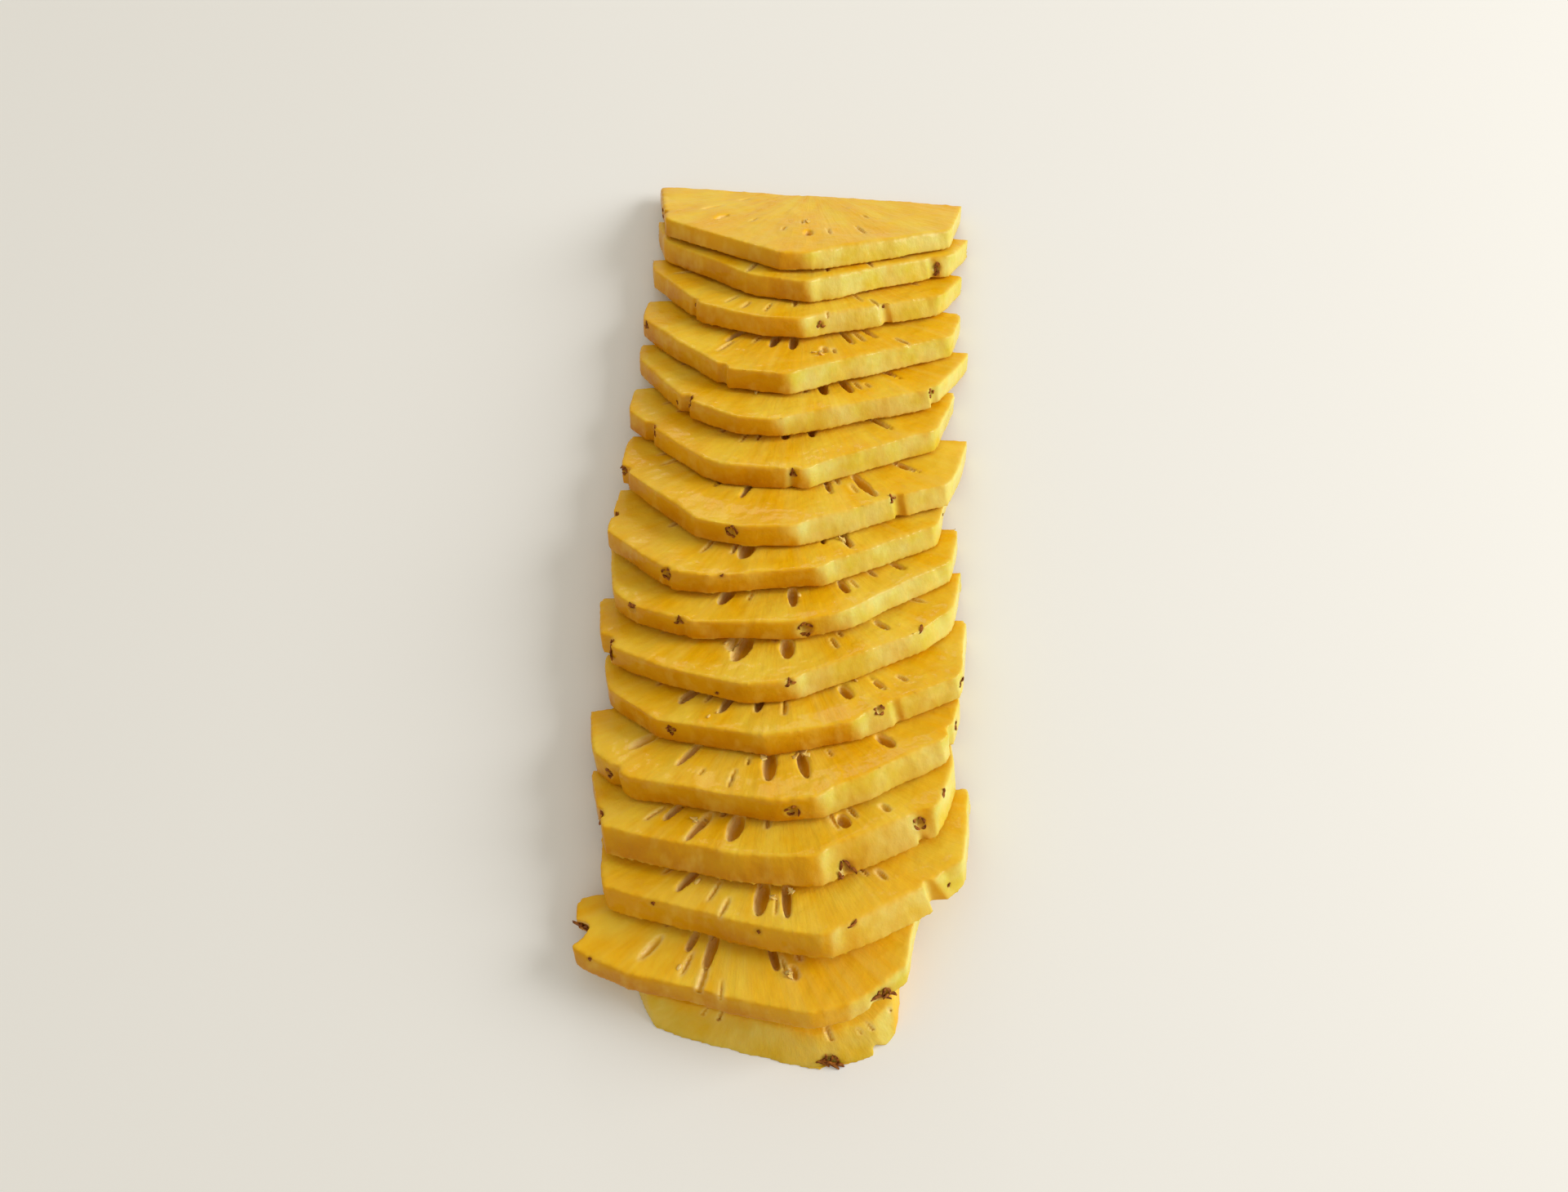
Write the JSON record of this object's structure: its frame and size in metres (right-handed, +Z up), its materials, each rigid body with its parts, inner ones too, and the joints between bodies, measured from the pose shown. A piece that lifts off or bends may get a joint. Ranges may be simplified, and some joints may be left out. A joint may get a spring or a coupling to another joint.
{
  "type": "cut pineapple",
  "caption": "Peeled pineapple cut into thin half-round slices that lie fanned in a leaning row, ready to serve.",
  "frame": {"origin": "on the floor under the middle of the row's outer size", "axes": "+Y from the front slice, which lies flat, to the back one along the row; +X to the right; +Z up"},
  "size_m": [0.1034, 0.2632, 0.0282],
  "materials": {
    "flesh": "wet"
  },
  "bodies": {
    "root": {"slice_01": "flesh", "slice_02": "flesh", "slice_03": "flesh", "slice_04": "flesh", "slice_05": "flesh", "slice_06": "flesh", "slice_07": "flesh", "slice_08": "flesh", "slice_09": "flesh", "slice_10": "flesh", "slice_11": "flesh", "slice_12": "flesh", "slice_13": "flesh", "slice_14": "flesh", "slice_15": "flesh", "slice_16": "flesh"}
  },
  "joints": []
}
